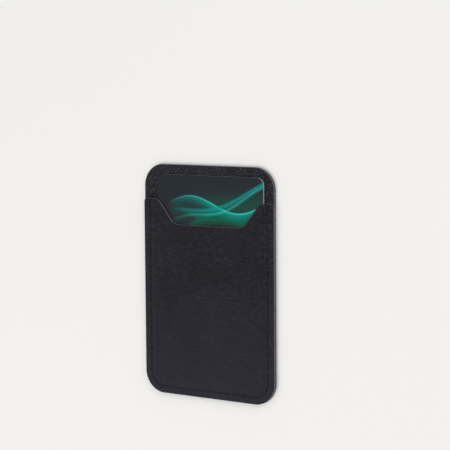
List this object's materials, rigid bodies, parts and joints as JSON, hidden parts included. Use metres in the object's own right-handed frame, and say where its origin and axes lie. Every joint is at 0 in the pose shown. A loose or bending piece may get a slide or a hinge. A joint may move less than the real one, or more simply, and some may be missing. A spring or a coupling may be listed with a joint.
{
  "type": "phone card holder",
  "caption": "Slim leather card holder that clings to the back of a phone by a magnet ring; one open pocket with a thumb notch holds a bank-size card.",
  "frame": {"origin": "under the middle of the holder's footprint, in the flat face that meets the phone", "axes": "+X across to the right as seen from the front, +Y along it towards the mouth end, +Z out of the front; the holder lies on its back"},
  "size_m": [0.066, 0.099, 0.003],
  "materials": {
    "grain_leather": "near-black creased grain, soft sheen",
    "pebbled_leather": "near-black pebbled grain, matt",
    "back_leather": "near-black fine nap, matt",
    "board": "dark grey plastic sheet",
    "steel": "thin bright sheet",
    "magnet": "nickel-plated magnet",
    "card_plastic": "satin laminate, dark navy with soft teal and green bands"
  },
  "bodies": {
    "root": {"back_panel": "back_leather", "stiffener_board": "board", "centre_disc": "board", "ring_magnet_01": "magnet", "ring_magnet_02": "magnet", "ring_magnet_03": "magnet", "ring_magnet_04": "magnet", "ring_magnet_05": "magnet", "ring_magnet_06": "magnet", "ring_magnet_07": "magnet", "ring_magnet_08": "magnet", "ring_magnet_09": "magnet", "ring_magnet_10": "magnet", "ring_magnet_11": "magnet", "ring_magnet_12": "magnet", "ring_magnet_13": "magnet", "ring_magnet_14": "magnet", "ring_magnet_15": "magnet", "ring_magnet_16": "magnet", "steel_ring": "steel", "alignment_magnet": "magnet", "alignment_backing": "steel", "inner_panel": "pebbled_leather", "front_panel": "grain_leather", "card": "card_plastic"}
  },
  "joints": []
}
